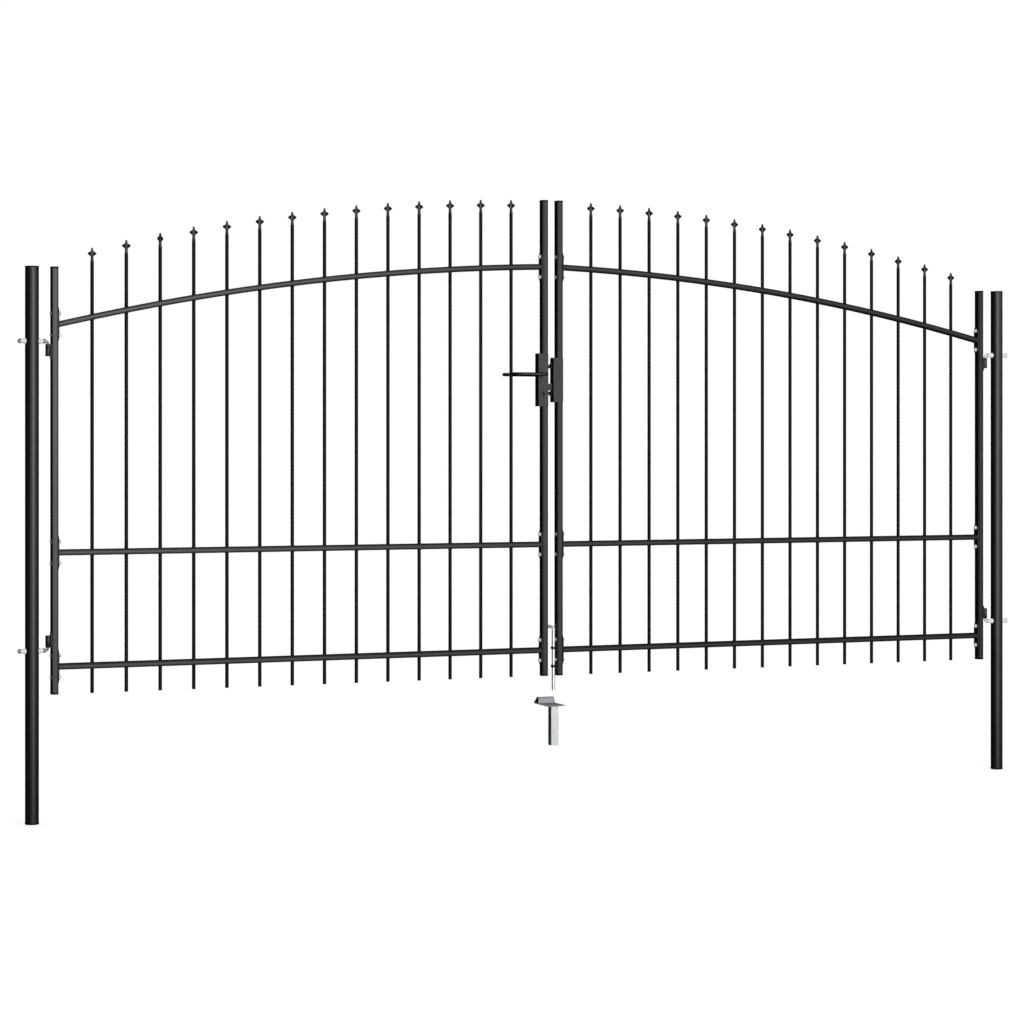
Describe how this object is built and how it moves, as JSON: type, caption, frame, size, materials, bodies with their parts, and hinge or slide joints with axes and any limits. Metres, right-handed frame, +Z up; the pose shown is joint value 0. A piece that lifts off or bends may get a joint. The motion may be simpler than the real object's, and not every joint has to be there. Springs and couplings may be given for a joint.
{
  "type": "double driveway gate with posts",
  "caption": "Double-leaf driveway gate of black steel tube with an arched top, spear-topped bars, round posts, lever lock, drop bolt and ground socket.",
  "frame": {"origin": "centre of the left post's foot, on its flat bottom face", "axes": "+X along the gate to the right post, +Y away from the viewer, through the gateway, +Z up along the posts"},
  "size_m": [4.052, 0.1735, 2.25],
  "materials": {
    "black_coat": "semi-gloss black powder coat",
    "black_plastic": "matt black moulded plastic",
    "zinc": "bright zinc plate",
    "white_plastic": "white moulded plastic",
    "cylinder_metal": "black",
    "galvanised": "galvanised"
  },
  "bodies": {
    "posts": {"left_post_lower": "black_coat", "left_post_upper": "black_coat", "left_post_top_cap": "black_plastic", "left_post_foot_cap": "black_plastic", "left_hinge_rods": "zinc", "left_hinge_saddles": "white_plastic", "left_hinge_nuts": "zinc", "right_post_lower": "black_coat", "right_post_upper": "black_coat", "right_post_top_cap": "black_plastic", "right_post_foot_cap": "black_plastic", "right_hinge_rods": "zinc", "right_hinge_saddles": "white_plastic", "right_hinge_nuts": "zinc", "socket_plate": "galvanised", "socket_tube": "galvanised"},
    "left_leaf": {"left_hinge_stile": "black_coat", "left_meeting_stile": "black_coat", "left_stile_caps": "black_plastic", "left_bottom_rail": "black_coat", "left_middle_rail": "black_coat", "left_top_rail": "black_coat", "left_rail_end_plates": "black_coat", "left_bars": "black_coat", "left_spears": "black_coat", "left_hinge_knuckles": "black_coat", "lock_case": "black_coat", "lock_cylinder": "cylinder_metal"},
    "right_leaf": {"right_hinge_stile": "black_coat", "right_meeting_stile": "black_coat", "right_stile_caps": "black_plastic", "right_bottom_rail": "black_coat", "right_middle_rail": "black_coat", "right_top_rail": "black_coat", "right_rail_end_plates": "black_coat", "right_bars": "black_coat", "right_spears": "black_coat", "right_hinge_knuckles": "black_coat", "keeper": "black_coat", "keeper_studs": "black_plastic", "bolt_guides": "black_coat"},
    "levers": {"front_lever": "black_coat", "back_lever": "black_coat", "lever_spindle": "zinc"},
    "latch": {"latch_tongue": "black_coat"},
    "drop_bolt": {"drop_bolt": "zinc"}
  },
  "joints": [
    {"name": "left_leaf_swing", "type": "hinge", "parent": "posts", "child": "left_leaf", "pos_m": [0.0561, 0, 0.605], "axis": [0, 0, 1], "range_deg": [-90, 90]},
    {"name": "right_leaf_swing", "type": "hinge", "parent": "posts", "child": "right_leaf", "pos_m": [3.8959, 0, 0.605], "axis": [0, 0, -1], "range_deg": [-90, 90]},
    {"name": "lever_turn", "type": "hinge", "parent": "left_leaf", "child": "levers", "pos_m": [1.93675, 0.006, 1.59], "axis": [0, -1, 0], "range_deg": [0, 40], "stiffness_Nm_per_rad": 1.5, "springref_deg": -34.38},
    {"name": "latch_draw", "type": "slide", "parent": "left_leaf", "child": "latch", "axis": [-1, 0, 0], "range_m": [0, 0.025]},
    {"name": "drop_bolt_slide", "type": "slide", "parent": "right_leaf", "child": "drop_bolt", "axis": [0, 0, -1], "range_m": [0, 0.06]}
  ],
  "couplings": [
    {"joint": "latch_draw", "follows": "lever_turn", "m_per_rad": 0.0344}
  ]
}
